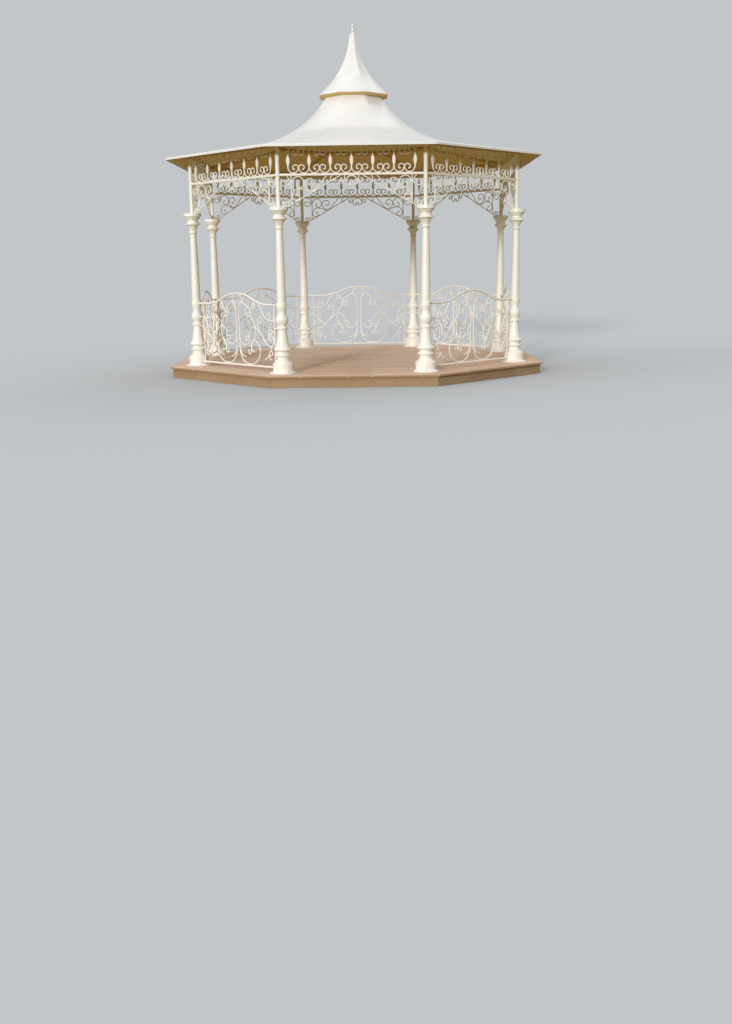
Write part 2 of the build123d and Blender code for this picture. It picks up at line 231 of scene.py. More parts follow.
def turned_round(tree, mesh, **values):
    """The plain mesh that a turning tree makes from one bay's mesh."""
    carrier = bpy.data.objects.new("carrier", mesh)
    scene.collection.objects.link(carrier)
    modifier = carrier.modifiers.new("turning", "NODES")
    modifier.node_group = tree
    labels = {label.replace("_", " ").capitalize(): value for label, value in values.items()}
    labels = {"Copies": bays, "First copy": 0, "Turn": bay_turn, **labels}
    for socket in tree.interface.items_tree:
        if socket.in_out == "INPUT" and socket.name in labels:
            modifier[socket.identifier] = labels[socket.name]
    graph = bpy.context.evaluated_depsgraph_get()
    made = bpy.data.meshes.new_from_object(carrier.evaluated_get(graph), depsgraph=graph)
    carrier.modifiers.remove(modifier)
    bpy.data.objects.remove(carrier)
    return made


# Sawn sandstone: buff with darker patches, each block its own shade, dull and gritty
buff_sandstone, tree, shader, place = start_material("buff_sandstone", roughness=0.9)
patches = add_node(tree, "ShaderNodeTexNoise", {"Vector": place, "Scale": 1 / stone_patch, "Detail": 5})
grit = add_node(tree, "ShaderNodeTexNoise", {"Vector": place, "Scale": 1 / stone_grain, "Detail": 6})
own = add_node(tree, "ShaderNodeAttribute", attribute_name="tone")
blend = add_node(tree, "ShaderNodeMix",
                 {0: own_stone_share, 2: patches.outputs["Fac"], 3: own.outputs["Fac"]})
speckle = add_node(tree, "ShaderNodeMix",
                   {0: stone_grit_share, 2: blend.outputs[0], 3: grit.outputs["Fac"]})
tone = add_node(tree, "ShaderNodeMix", {0: speckle.outputs[0], 6: linear(stone_colours[0]),
                                        7: linear(stone_colours[1])}, data_type="RGBA")
relief = add_node(tree, "ShaderNodeBump", {"Height": grit.outputs["Fac"], "Distance": stone_relief})
coat(tree, shader, tone, relief)

stone_draw = random.Random(stone_seed)
face_y = -base_high.x
side_half = base_high.x * half_side_share
inner_half = (base_high.x - stone_depth) * half_side_share
shape = bmesh.new()
for count in range(stones_a_side):
    left = -side_half + 2 * side_half * count / stones_a_side
    right = left + 2 * side_half / stones_a_side
    near = (left + stone_joint / 2, right - stone_joint / 2)
    far = (max(near[0], -inner_half), min(near[1], inner_half))
    plan = [(near[0], face_y), (near[1], face_y),
            (far[1], face_y + stone_depth), (far[0], face_y + stone_depth)]
    add_prism(shape, plan, base_low.z, base_high.z)
bmesh.ops.bevel(shape, geom=shape.edges[:], offset=stone_arris, segments=2, affect="EDGES")
bmesh.ops.subdivide_edges(shape, edges=[e for e in shape.edges if e.calc_length() > long_edge],
                          cuts=long_edge_cuts, use_grid_fill=True)
for vertex in shape.verts:
    if vertex.co.y < face_y + stone_arris:
        vertex.co.y += stone_draw.uniform(0, stone_wave)
copy_tree = turning_tree("copies round the bays", bars=False)
stones = turned_round(copy_tree, as_mesh(shape), material=buff_sandstone)
edge_stones = make_piece("plinth_edge_stones", stones, buff_sandstone)
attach(edge_stones, "root")
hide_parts("plinth_base")

# Paving: riven sandstone flags laid in courses from front to back, their joints in line and filled with
# pale mortar. The outer ones are cut to the octagon and overhang the edge stones.
flag_joint = 13 * mm
flag_arris = 3 * mm
flag_settle = 1 * mm
front_course = 810 * mm
inner_course = 600 * mm
front_joints = (-1850, -1250, -660, -85, 217, 810, 1404, 2000)
inner_joints = (-1850, -1250, -660, -85, 505, 1404, 2000)
odd_joints = (-2150, -1550, -660, 217, 810, 1700)
least_course = 250 * mm
# Plan area in square metres, under which a cut piece isn't laid
least_flag = 0.001
flag_seed = 11
flag_colours = ("#cfaa8e", "#f0d6bc")
grey_flag = "#d2c0ac"
grey_from_tone = 0.7
grey_full_tone = 0.75
grey_share = 0.5
flag_edge_painted_shade = "#b08d6f"
flag_edge_depth = 8 * mm
flag_top_depth = 3 * mm
riven_grain = 14 * mm
riven_relief = riven_grain / 6
flag_cloud = 330 * mm
own_flag_share = 0.55
riven_share = 0.2


def cut_to_octagon(outline, apothem):
    """A plan outline, cut off at the eight sides of the octagon."""
    for side in range(bays):
        normal = Vector((math.cos(side * bay_turn), math.sin(side * bay_turn)))
        kept = []
        for start, end in zip(outline, outline[1:] + outline[:1]):
            here, there = start @ normal - apothem, end @ normal - apothem
            if here <= 0:
                kept.append(start)
            if here * there < 0:
                kept.append(start.lerp(end, here / (here - there)))
        outline = kept
    return outline


def plan_area(outline):
    """Area of a plan outline."""
    return abs(sum(start.cross(end) for start, end in zip(outline, outline[1:] + outline[:1]))) / 2


# Riven sandstone: pinkish buff, each flag its own shade, some greyer, with clouds and a split surface.
# Down its cut edge it is darker and browner, a painted shade under the top arris
pink_sandstone, tree, shader, place = start_material("pink_sandstone", roughness=0.8)
clouds = add_node(tree, "ShaderNodeTexNoise", {"Vector": place, "Scale": 1 / flag_cloud, "Detail": 6})
splits = add_node(tree, "ShaderNodeTexNoise",
                  {"Vector": place, "Scale": 1 / riven_grain, "Detail": 8, "Roughness": 0.65})
own = add_node(tree, "ShaderNodeAttribute", attribute_name="tone")
blend = add_node(tree, "ShaderNodeMix",
                 {0: own_flag_share, 2: clouds.outputs["Fac"], 3: own.outputs["Fac"]})
speckle = add_node(tree, "ShaderNodeMix", {0: riven_share, 2: blend.outputs[0], 3: splits.outputs["Fac"]})
pink = add_node(tree, "ShaderNodeMix", {0: speckle.outputs[0], 6: linear(flag_colours[0]),
                                        7: linear(flag_colours[1])}, data_type="RGBA")
greyer = add_node(tree, "ShaderNodeMapRange",
                  {"Value": own.outputs["Fac"], "From Min": grey_from_tone, "From Max": grey_full_tone,
                   "To Max": grey_share})
tone = add_node(tree, "ShaderNodeMix", {0: greyer.outputs[0], 6: pink.outputs[2], 7: linear(grey_flag)},
                data_type="RGBA")
height = add_node(tree, "ShaderNodeSeparateXYZ", {0: place})
# Painted shade: below the top arris the flag's cut edge fades to a darker brown
top = add_node(tree, "ShaderNodeMapRange",
               {"Value": height.outputs["Z"], "From Min": paving_high.z - flag_edge_depth,
                "From Max": paving_high.z - flag_top_depth})
shaded_edge_mix = add_node(tree, "ShaderNodeMix", {0: top.outputs[0], 6: linear(flag_edge_painted_shade), 7: tone.outputs[2]},
                 data_type="RGBA")
relief = add_node(tree, "ShaderNodeBump", {"Height": splits.outputs["Fac"], "Distance": riven_relief})
coat(tree, shader, shaded_edge_mix, relief)

flag_draw = random.Random(flag_seed)
apothem = paving_high.x
half_joint = flag_joint / 2
edge_line = apothem + half_joint
rows = [front_course - apothem]
while rows[-1] + inner_course < apothem - least_course:
    rows.append(rows[-1] + inner_course)
shape = bmesh.new()
tones = shape.faces.layers.float.new("tone")
for course, (near, far) in enumerate(zip([-edge_line] + rows, rows + [edge_line])):
    places = (odd_joints if course % 2 else inner_joints) if course else front_joints
    joints = [x * mm for x in places]
    for left, right in zip([-edge_line] + joints, joints + [edge_line]):
        corners = [Vector((left + half_joint, near + half_joint)),
                   Vector((right - half_joint, near + half_joint)),
                   Vector((right - half_joint, far - half_joint)),
                   Vector((left + half_joint, far - half_joint))]
        flag = cut_to_octagon(corners, apothem)
        if len(flag) < 3 or plan_area(flag) < least_flag:
            continue
        shade = flag_draw.random()
        flag_top = paving_high.z - flag_draw.uniform(0, flag_settle)
        for face in add_prism(shape, flag, base_high.z, flag_top):
            face[tones] = shade
top_edges = [e for e in shape.edges if min(v.co.z for v in e.verts) > base_high.z + flag_arris]
bmesh.ops.bevel(shape, geom=top_edges, offset=flag_arris, segments=2, affect="EDGES")
paving_flags = make_piece("paving_flags", as_mesh(shape), pink_sandstone)
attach(paving_flags, "root")
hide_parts("plinth_paving")

# Columns: cast in sleeves over a steel post and bolted down through the foot flange, then painted.
# Each is a foot with a drum and two rolls, a tapering shaft with a bead and a ring, and a cupped head.
corner_names = ("front_left", "front_right", "right_front", "right_back",
                "back_right", "back_left", "left_back", "left_front")
bay_names = ("front", "front_right", "right", "back_right", "back", "back_left", "left", "front_left")
floor_level = paving_high.z
column_low, column_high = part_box("column_front_left")
corner_x = (column_low.x + column_high.x) / 2
bay_apothem = -(column_low.y + column_high.y) / 2
beam_bottom = column_high.z
# From here on, a size without its unit is in millimetres, and is scaled where its mesh is made
capital_height = 1990
post_width = 48
post_arris = 4
turning_sides = 44
arc_parts = 8
column_outline = (
    (0, 0, 0), (167, 0, 0), (170, 5, 2), (166, 13, 2), (129, 28, -5), (126, 38, -1), (131, 114, 0),
    (125, 125, 2), (82, 164, -2), (79, 176, 0), (79, 202, 0), (79, 246, 26), (78, 250, 0), (78, 268, 0),
    (82, 270, 0), (88, 320, 27), (86, 328, 0), (59, 500, -4), (56, 537, -1), (66, 539, 0), (71, 545, 2),
    (71, 560, 1), (66, 566, 2), (56, 568, 0), (55, 588, 0), (54, 716, 22), (54, 744, 0), (58, 768, -1),
    (59, 790, 0), (63, 796, 1), (63, 838, 1), (56, 858, 3), (41, 1724, 2),
    (41, 1728, 0), (43, 1730, 0), (43, 1758, 11), (42, 1762, 0), (76, 1836, -6), (79, 1837, 0),
    (97, 1845, -1), (99, 1849, 1), (97, 1857, 2), (63, 1896, -7), (63, 1902, 0), (97, 1935, 2),
    (112, 1950, -2), (114, 1955, 1), (114, 1986, 0), (111, 1990, 1), (0, 1990, 0))
ivory_colours = ("#f0ebe0", "#f9f6ee")
ivory_glossiest = 0.3
ivory_dullest = 0.48
ivory_grime = "#b9a684"
brush_drift = 420 * mm
cast_grain = 3.5 * mm
cast_relief = cast_grain / 12
grime_height = 260 * mm
grime_at_floor = 0.6
grime_above = 0.08
streak_width = 25 * mm
streak_length = 250 * mm
streak_start = 0.5
streak_full = 0.75


def drawn_outline(points, parts=arc_parts):
    """Points along an outline whose rows are radius, height and the bow of the stretch that ends there."""
    outline = [points[0][:2]]
    for (x0, z0, _), (x1, z1, bow) in zip(points, points[1:]):
        steps = parts if bow else 1
        for step in range(1, steps + 1):
            share = step / steps
            push = 4 * bow * share * (1 - share) / math.hypot(x1 - x0, z1 - z0)
            outline.append((x0 + share * (x1 - x0) + push * (z1 - z0),
                            z0 + share * (z1 - z0) - push * (x1 - x0)))
    return outline


def add_turned(shape, outline, sides, centre, first=0.0, closed=False):
    """Adds an outline in millimetres, turned about an upright axis from a first angle. It is open and ends
    on the axis, or is closed into a ring. Gives the edges that run along it."""
    rings = []
    for radius, height in outline:
        if radius == 0:
            rings.append([shape.verts.new((centre[0], centre[1], centre[2] + height * mm))] * sides)
            continue
        angles = [first + 2 * math.pi * side / sides for side in range(sides)]
        rings.append([shape.verts.new((centre[0] + radius * mm * math.cos(angle),
                                       centre[1] + radius * mm * math.sin(angle),
                                       centre[2] + height * mm)) for angle in angles])
    ribs = []
    for low, high in zip(rings, rings[1:] + rings[:1] if closed else rings[1:]):
        for side in range(sides):
            after = (side + 1) % sides
            corners = [low[side], low[after], high[after], high[side]]
            face = shape.faces.new(dict.fromkeys(corners))
            ribs += [edge for edge in face.edges if set(edge.verts) == {low[side], high[side]}]
    return ribs


# Satin paint on cast metal: warm ivory, brushed a little uneven, with a faint grain of the casting and
# grime that has washed down and settled near the floor
ivory_paint, tree, shader, place = start_material("ivory_satin_paint", roughness=0.38)
drift = add_node(tree, "ShaderNodeTexNoise", {"Vector": place, "Scale": 1 / brush_drift, "Detail": 4})
tone = add_node(tree, "ShaderNodeMix", {0: drift.outputs["Fac"], 6: linear(ivory_colours[0]),
                                        7: linear(ivory_colours[1])}, data_type="RGBA")
rain = add_node(tree, "ShaderNodeMapping",
                {"Vector": place, "Scale": (1 / streak_width, 1 / streak_width, 1 / streak_length)})
streaks = add_node(tree, "ShaderNodeTexNoise", {"Vector": rain.outputs[0], "Scale": 1, "Detail": 3})
height = add_node(tree, "ShaderNodeSeparateXYZ", {0: place})
low_down = add_node(tree, "ShaderNodeMapRange",
                    {"Value": height.outputs["Z"], "From Min": floor_level,
                     "From Max": floor_level + grime_height, "To Min": grime_at_floor,
                     "To Max": grime_above})
dirty = add_node(tree, "ShaderNodeMapRange",
                 {"Value": streaks.outputs["Fac"], "From Min": streak_start, "From Max": streak_full})
amount = add_node(tree, "ShaderNodeMath", {0: low_down.outputs[0], 1: dirty.outputs[0]},
                  operation="MULTIPLY")
stained = add_node(tree, "ShaderNodeMix",
                   {0: amount.outputs[0], 6: tone.outputs[2], 7: linear(ivory_grime)}, data_type="RGBA")
grain = add_node(tree, "ShaderNodeTexNoise", {"Vector": place, "Scale": 1 / cast_grain, "Detail": 2})
gloss = add_node(tree, "ShaderNodeMapRange",
                 {"Value": drift.outputs["Fac"], "To Min": ivory_glossiest, "To Max": ivory_dullest})
tree.links.new(gloss.outputs[0], shader.inputs["Roughness"])
relief = add_node(tree, "ShaderNodeBump",
                  {"Height": grain.outputs["Fac"], "Strength": 0.4, "Distance": cast_relief})
coat(tree, shader, stained, relief)

turned_line = drawn_outline(column_outline)
post_radius = post_width / 2 / apothem_share
post_foot = capital_height - post_arris
post_head = (beam_bottom - floor_level) / mm
post_outline = [(0, post_foot), (post_radius, post_foot), (post_radius, post_head), (0, post_head)]
for turn, corner in enumerate(corner_names):
    shape = bmesh.new()
    centre = Matrix.Rotation(turn * bay_turn, 3, "Z") @ Vector((corner_x, -bay_apothem, floor_level))
    add_turned(shape, turned_line, turning_sides, centre)
    post_edges = add_turned(shape, post_outline, bays, centre, first=bay_turn / 2)
    bmesh.ops.bevel(shape, geom=[e for e in post_edges if e.calc_length() > long_edge],
                    offset=post_arris * mm, segments=2, affect="EDGES")
    column = make_piece("turned_column_" + corner, as_mesh(shape), ivory_paint)
    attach(column, "root")
    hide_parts("column_" + corner)

# Frieze: a rail between the posts with flat cast balusters up to the eaves beam, and in each gap a pair of
# scrolls bent from flat bar, one pair standing on the rail and one hanging from the beam.
rail_underside = 2346
rail_depth = 28
rail_thickness = 25
rail_height = rail_underside + rail_depth / 2
frieze_height = post_head - rail_height
balusters = 7
stem_half_width = 10
baluster_thickness = 15
baluster_arris = 4
baluster_height = 306
baluster_outline = ((0, 56, 0), (7, 56, 0), (7, 72, 0), (9, 86, 0), (14, 108, -1), (20, 136, 2),
                    (20, 152, 0), (13, 184, 2), (9, 210, -1), (7, 232, 0), (7, 250, 0))
bar_width = 14
bar_thickness = 12
bar_corner = 4
bar_overlap = 3
crown_ratio = 0.55
eye_ratio = 0.3
scroll_step = 15
eye_swell = (1.1, 1.3, 1.5, 1.5, 1.2, 0.6)
bar_sharp_angle = 50
rail_sharp_angle = 35
pendant_run = ((70, -90), (36, -90), (22, -150))
hook_place = 84
hook_run = ((50, 0), (24, 180), (16, 120))
bay_half_length = -corner_x / mm
baluster_pitch = 2 * bay_half_length / balusters
bar_seat = bar_width / 2 - bar_overlap
loop_radius = (baluster_pitch / 2 - stem_half_width + bar_seat) / 2
loop_middle = rail_height + rail_depth / 2 + bar_seat + loop_radius


def bent_bar(start, heading, runs, eye=False):
    """The line of a bar that follows a row of bends (radius, turn) and straights (length, 0), with how far
    its section swells at each point: it ends plain, or in the thick eye of a scroll."""
    place = Vector(start)
    line = [place.copy()]
    for size, turn in runs:
        chords = max(1, math.ceil(abs(turn) / scroll_step))
        bend = math.radians(turn / chords)
        length = 2 * size * math.sin(abs(bend) / 2) if turn else size
        for _ in range(chords):
            middle = math.radians(heading) + bend / 2
            place = place + Vector((math.cos(middle), math.sin(middle))) * length
            heading += math.degrees(bend)
            line.append(place)
    swells = [1.0] * len(line)
    if eye:
        swells[-len(eye_swell):] = eye_swell
    return list(zip(line, swells))


def placed(bars, across=0, up=0, turn_x=1, turn_y=1):
    """Copies of bars, turned over where turn_x or turn_y is -1 and then moved."""
    return [[(Vector((turn_x * place.x + across, turn_y * place.y + up)), swell) for place, swell in bar]
            for bar in bars]


def mirrored(bars):
    """Bars with their mirror images about the middle of the bay."""
    return bars + placed(bars, turn_x=-1)


def bay_lines(bars):
    """Mesh of loose lines in the front bay's plane, ready to be drawn out as bars."""
    mesh = bpy.data.meshes.new("lines")
    points, edges, swells = [], [], []
    for bar in bars:
        edges += [(len(points) + count, len(points) + count + 1) for count in range(len(bar) - 1)]
        points += [(place.x * mm, -bay_apothem, floor_level + place.y * mm) for place, swell in bar]
        swells += [swell for place, swell in bar]
    mesh.from_pydata(points, edges, [])
    mesh.attributes.new("swell", "FLOAT", "POINT").data.foreach_set("value", swells)
    return mesh


def bar_piece(name, bars, width=bar_width, thickness=bar_thickness, corner=bar_corner,
              sharp_angle=bar_sharp_angle, **turning):
    """A painted piece of bars that stand in each bay."""
    mesh = turned_round(bar_tree, bay_lines(bars), material=ivory_paint, bar_width=width * mm,
                        bar_thickness=thickness * mm, bar_corner=corner * mm, **turning)
    return make_piece(name, mesh, ivory_paint, sharp_angle)


bar_tree = turning_tree("bars round the bays", bars=True)

loop_start = stem_half_width - bar_width / 2 - baluster_pitch / 2
loop_run = ((loop_radius, 180), (loop_radius * crown_ratio, 180), (loop_radius * eye_ratio, 120))
loop = bent_bar((loop_start, loop_middle), -90, loop_run, eye=True)
standing = []
for gap in range(balusters - 1):
    middle = (gap - (balusters - 2) / 2) * baluster_pitch
    standing += placed([loop], across=middle) + placed([loop], across=middle, turn_x=-1)
frieze_middle = rail_height + (rail_depth / 2 + frieze_height) / 2
hanging = placed(standing, up=2 * frieze_middle, turn_y=-1)
pendants = mirrored([bent_bar((0, rail_underside - bar_seat), 0, pendant_run, eye=True),
                     bent_bar((hook_place, rail_underside), -90, hook_run, eye=True)])
frieze_scrolls = bar_piece("frieze_scrolls", standing + hanging + pendants)
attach(frieze_scrolls, "root")
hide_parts(*["frieze_" + bay for bay in bay_names])

rail_end = bay_half_length - post_width / 2
rail_line = [[(Vector((-rail_end, rail_height)), 1.0), (Vector((rail_end, rail_height)), 1.0)]]
frieze_rails = bar_piece("frieze_rails", rail_line, rail_depth, rail_thickness,
                         sharp_angle=rail_sharp_angle)
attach(frieze_rails, "root")

stretch = (frieze_height - rail_depth / 2) / baluster_height
right_side = [(x * mm, height * stretch * mm)
              for x, height in drawn_outline(baluster_outline, parts=4)[1:]]
left_side = [(-x, z) for x, z in reversed(right_side)]
half_thickness = baluster_thickness * mm / 2
shape = bmesh.new()
for count in range(balusters):
    foot = Vector(((count - (balusters - 1) / 2) * baluster_pitch * mm, -bay_apothem,
                   floor_level + (rail_height + rail_depth / 2) * mm))
    casting = bmesh.new()
    add_prism(casting, right_side + left_side, -half_thickness, half_thickness)
    bmesh.ops.bevel(casting, geom=[e for e in casting.edges if e.verts[0].co.z * e.verts[1].co.z > 0],
                    offset=baluster_arris * mm, segments=2, affect="EDGES")
    bmesh.ops.transform(casting, matrix=Matrix.Translation(foot) @ Matrix.Rotation(math.pi / 2, 4, "X"),
                        verts=casting.verts)
    flat = as_mesh(casting)
    shape.from_mesh(flat)
    bpy.data.meshes.remove(flat)
castings = turned_round(copy_tree, as_mesh(shape), material=ivory_paint)
frieze_balusters = make_piece("frieze_balusters", castings, ivory_paint)
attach(frieze_balusters, "root")

# Brackets: in the corner over each capital a sloping bar and an upright, filled with scrolls of flat bar,
# welded up as one frame and screwed to the post and the rail.
bracket_height = rail_underside - capital_height
bracket_bar_width = 12
bracket_toe = 108
bracket_reach = 752
bracket_bar_place = 161
fork_place = 378
fork_up_run = ((60, 15), (300, 5), (178, 0))
fork_down_run = ((60, -29), (80, -90), (60, -90), (50, -90), (32, -90), (24, -60), (18, -60))
upper_scroll_drop = 81
upper_scroll_run = ((72, -180), (60, -90), (34, -90), (22, -110))
lower_scroll_drop = 234
lower_scroll_up_run = ((86, -92), (230, -28), (28, 0))
lower_scroll_down_run = ((50, 90), (38, 90), (27, 90), (17, 60))
post_scroll_drop = 56
post_scroll_run = ((66, -90), (45, -90), (20, -150))
# Curls: place, heading and bends of each small scroll that is welded to the side of a bar
bracket_curls = (
    ((113, 356), -90, ((28, 60), (22, -150), (16, -90))),
    ((650, 352), 215, ((46, 50), (22, 160), (14, 90))),
    ((45, 4), 0, ((28, 0), (26, 180), (19, 110), (14, 100))),
    ((95, 24), 95, ((44, -40), (17, -120), (13, -120))))
bracket_slope = math.degrees(math.atan2(bracket_height, bracket_reach - bracket_toe))
slope_length = math.hypot(bracket_reach - bracket_toe, bracket_height)
bars_apart = bracket_bar_width - bar_overlap
fork_along = Vector((math.cos(math.radians(bracket_slope)), math.sin(math.radians(bracket_slope))))
fork_out = Vector((-fork_along.y, fork_along.x)) * bars_apart
fork_start = Vector((bracket_toe, 0)) + fork_along * fork_place + fork_out
bar_foot = (bracket_bar_place - bracket_toe) * math.tan(math.radians(bracket_slope))
upper_scroll = (bracket_bar_place + bars_apart, bracket_height - upper_scroll_drop)
lower_scroll = (bracket_bar_place + bars_apart, bracket_height - lower_scroll_drop)
post_scroll = (bracket_bar_place - bars_apart, bracket_height - post_scroll_drop)
bracket_bars = [
    bent_bar((bracket_toe, 0), bracket_slope, ((slope_length, 0),)),
    bent_bar((bracket_bar_place, bar_foot), 90, ((bracket_height - bar_foot, 0),)),
    bent_bar(fork_start, bracket_slope, fork_up_run),
    bent_bar(fork_start, bracket_slope + 180, fork_down_run, eye=True),
    bent_bar(upper_scroll, 90, upper_scroll_run, eye=True),
    bent_bar(lower_scroll, 90, lower_scroll_up_run),
    bent_bar(lower_scroll, -90, lower_scroll_down_run, eye=True),
    bent_bar(post_scroll, -90, post_scroll_run, eye=True)]
bracket_bars += [bent_bar(start, heading, runs, eye=True) for start, heading, runs in bracket_curls]
left_bracket = placed(bracket_bars, across=-bay_half_length, up=capital_height)
bracket_scrolls = bar_piece("bracket_scrolls", mirrored(left_bracket), bracket_bar_width)
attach(bracket_scrolls, "root")
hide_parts(*["brackets_" + corner for corner in corner_names])

# Railings: welded panels between the columns in seven bays. A round-edged top rail rises in the middle,
# and flat bar is bent into twin stems with a lyre, an oval, sweeps and small scrolls between two stiles.
railing_end_height = 830
railing_crest_height = 968
railing_flat = 200
wave_parts = 4
railing_bar = 24
railing_corner = 8
bottom_rail_height = 60
# Where the top and bottom rails end, from the column's axis
top_rail_end = 63
bottom_rail_end = 125
stile_inset = 150
stem_gap = 58
lyre_height = 220
lyre_run = ((80, -40), (62, 0), (50, 80), (75, 0))
oval_top = 400
lug_heights = (250, 540, 650)
spring_parts = 5
# Sprung bars: the points that the bar passes through, then the bends of the scroll that it ends in
sprung_bars = (
    (((29, 400), (29, 330), (34, 255), (52, 184), (90, 126), (150, 90), (217, 77), (300, 86), (375, 122),
      (425, 180), (442, 240), (434, 297), (405, 340), (362, 372), (320, 384), (282, 366), (262, 325),
      (268, 278), (290, 244)), ((26, 50), (14, 130))),
    (((92, 868), (190, 812), (244, 782), (262, 740), (262, 700), (284, 660), (330, 612), (362, 548),
      (420, 502), (485, 451), (530, 390), (575, 345)),
     ((110, 42), (72, 90), (62, 90), (34, 120), (22, 150))),
    (((352, 878), (322, 846), (292, 800), (266, 748)), ()),
    (((400, 866), (440, 832), (478, 786), (504, 732), (534, 686), (580, 656), (640, 640), (735, 640)), ()),
    (((732, 672), (700, 630), (668, 582), (640, 540), (622, 500), (632, 462), (620, 430), (588, 400),
      (545, 380)), ()),
    (((36, 404), (58, 362), (102, 326), (158, 318), (206, 340), (232, 384), (228, 430), (240, 484),
      (284, 528), (348, 562)), ()),
    (((444, 490), (428, 540), (404, 590), (410, 636)), ((46, -110), (32, -110), (20, -120))),
    (((344, 560), (354, 500), (346, 440), (316, 378), (284, 330), (266, 280), (262, 236)),
     ((30, -120), (20, -140))),
    (((36, 262), (60, 212), (96, 182), (150, 162)), ()),
    (((730, 372), (696, 330), (660, 282), (628, 234), (598, 194), (566, 162), (538, 144)), ()),
    (((654, 272), (676, 250), (684, 222), (664, 202), (630, 206), (622, 184), (642, 160), (672, 148)), ()))
railing_curls = (
    ((232, 790), 190, ((70, 80), (48, 90), (36, 90), (26, 90), (20, 120))),
    ((316, 838), 10, ((40, -80), (30, -100), (20, -120))),
    ((606, 650), -8, ((46, 120), (34, 110), (22, 130))),
    ((622, 500), 280, ((40, 100), (28, 110), (18, 130))),
    ((232, 392), 95, ((40, 100), (28, 110), (18, 120))),
    ((86, 862), 150, ((26, 110), (16, 140))))
rise_run = bay_half_length - top_rail_end - railing_flat
wave_turn = 2 * math.degrees(math.atan2(railing_crest_height - railing_end_height, rise_run))
wave_radius = rise_run / 2 / math.sin(math.radians(wave_turn))
hollow_bend = ((wave_radius, wave_turn / wave_parts),) * wave_parts
crest_bend = ((wave_radius, -wave_turn / wave_parts),) * (2 * wave_parts)
top_rail_run = ((railing_flat, 0), *hollow_bend, *crest_bend, *hollow_bend, (railing_flat, 0))
stile_place = bay_half_length - stile_inset
lyre_foot = railing_crest_height - lyre_height


def sprung_bar(points, runs):
    """The line of a bar that springs through its points and ends plain, or in a scroll of tangent bends."""
    points = [Vector(point) for point in points]
    ends = [2 * points[0] - points[1], *points, 2 * points[-1] - points[-2]]
    line = [(points[0], 1.0)]
    for before, start, end, after in zip(ends, ends[1:], ends[2:], ends[3:]):
        for part in range(1, spring_parts + 1):
            share = part / spring_parts
            bend = 2 * before - 5 * start + 4 * end - after
            twist = 3 * start - before - 3 * end + after
            place = start + ((end - before) * share + bend * share ** 2 + twist * share ** 3) / 2
            line.append((place, 1.0))
    if runs:
        last = line[-1][0] - line[-2][0]
        line += bent_bar(line[-1][0], math.degrees(math.atan2(last.y, last.x)), runs, eye=True)[1:]
    return line


panel_bars = [
    bent_bar((stem_gap / 2, oval_top), 90, ((lyre_foot - oval_top, 0), *lyre_run)),
    bent_bar((stile_place, bottom_rail_height), 90, ((railing_end_height - bottom_rail_height, 0),))]
panel_bars += [sprung_bar(points, runs) for points, runs in sprung_bars]
panel_bars += [bent_bar(start, heading, runs, eye=True) for start, heading, runs in railing_curls]
for lug_height in lug_heights:
    column_edge = next(radius for radius, level in turned_line if level > lug_height) - bar_overlap
    lug_length = bay_half_length - column_edge - stile_place
    panel_bars.append(bent_bar((stile_place, lug_height), 0, ((lug_length, 0),)))
railing_scrolls = bar_piece("railing_scrolls", mirrored(panel_bars), copies=bays - 1, first_copy=1)
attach(railing_scrolls, "root")
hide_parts(*["railing_" + bay for bay in bay_names[1:]])

bottom_rail_start = bottom_rail_end - bay_half_length
rail_lines = [bent_bar((top_rail_end - bay_half_length, railing_end_height), 0, top_rail_run),
              bent_bar((bottom_rail_start, bottom_rail_height), 0, ((-2 * bottom_rail_start, 0),))]
railing_rails = bar_piece("railing_rails", rail_lines, railing_bar, railing_bar, railing_corner,
                          copies=bays - 1, first_copy=1)
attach(railing_rails, "root")

# Roof frame: eaves beam on the heads of the posts, rafters and ring beam, of softwood, notched and bolted
# together. Their shape is the CAD's own; their honey-brown colour is partly painted shade.
# Painted shade, in part: boards and beams are coloured honey-brown, as they look in the shade under the
# eaves
timber_and_shade_colours = ("#ccab68", "#e0c68c")
timber_grain = 14 * mm
timber_relief = timber_grain / 20
timber_shine = 0.1

# Softwood with painted shade: its honey-brown colour stands partly for the golden shade under the eaves;
# dull, with a fine mottle
softwood_with_painted_shade, tree, shader, place = start_material("softwood_with_painted_shade", roughness=0.85)
shader.inputs["Specular IOR Level"].default_value = timber_shine
grain = add_node(tree, "ShaderNodeTexNoise", {"Vector": place, "Scale": 1 / timber_grain, "Detail": 4})
tone = add_node(tree, "ShaderNodeMix", {0: grain.outputs["Fac"], 6: linear(timber_and_shade_colours[0]),
                                        7: linear(timber_and_shade_colours[1])}, data_type="RGBA")
relief = add_node(tree, "ShaderNodeBump", {"Height": grain.outputs["Fac"], "Distance": timber_relief})
coat(tree, shader, tone, relief)
for node_name in ("eaves_beam", "roof_frame"):
    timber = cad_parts[node_name].data
    timber.materials.clear()
    timber.materials.append(softwood_with_painted_shade)

# Roof covering: eight flared panels of painted sheet over boards, joined at rounded hips and turned down
# at the eaves as a thin fascia.
panel_low, panel_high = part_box("roof_panel_front")
eaves_apothem = -panel_low.y / mm
neck_height = (panel_high.z - floor_level) / mm
fascia_foot = (panel_low.z - floor_level) / mm
fascia_height = 30
eaves_top = fascia_foot + fascia_height
eaves_round = 6
sheet_thickness = 6
flare_radius = 1420
flare_rise = 187
neck_radius = 403
flare_steps = 4
hollow_steps = 24
hip_round = 14
roof_colours = ("#e4e2dd", "#ebe9e5")
sheet_drift = 700 * mm
sheet_relief = 2 * mm

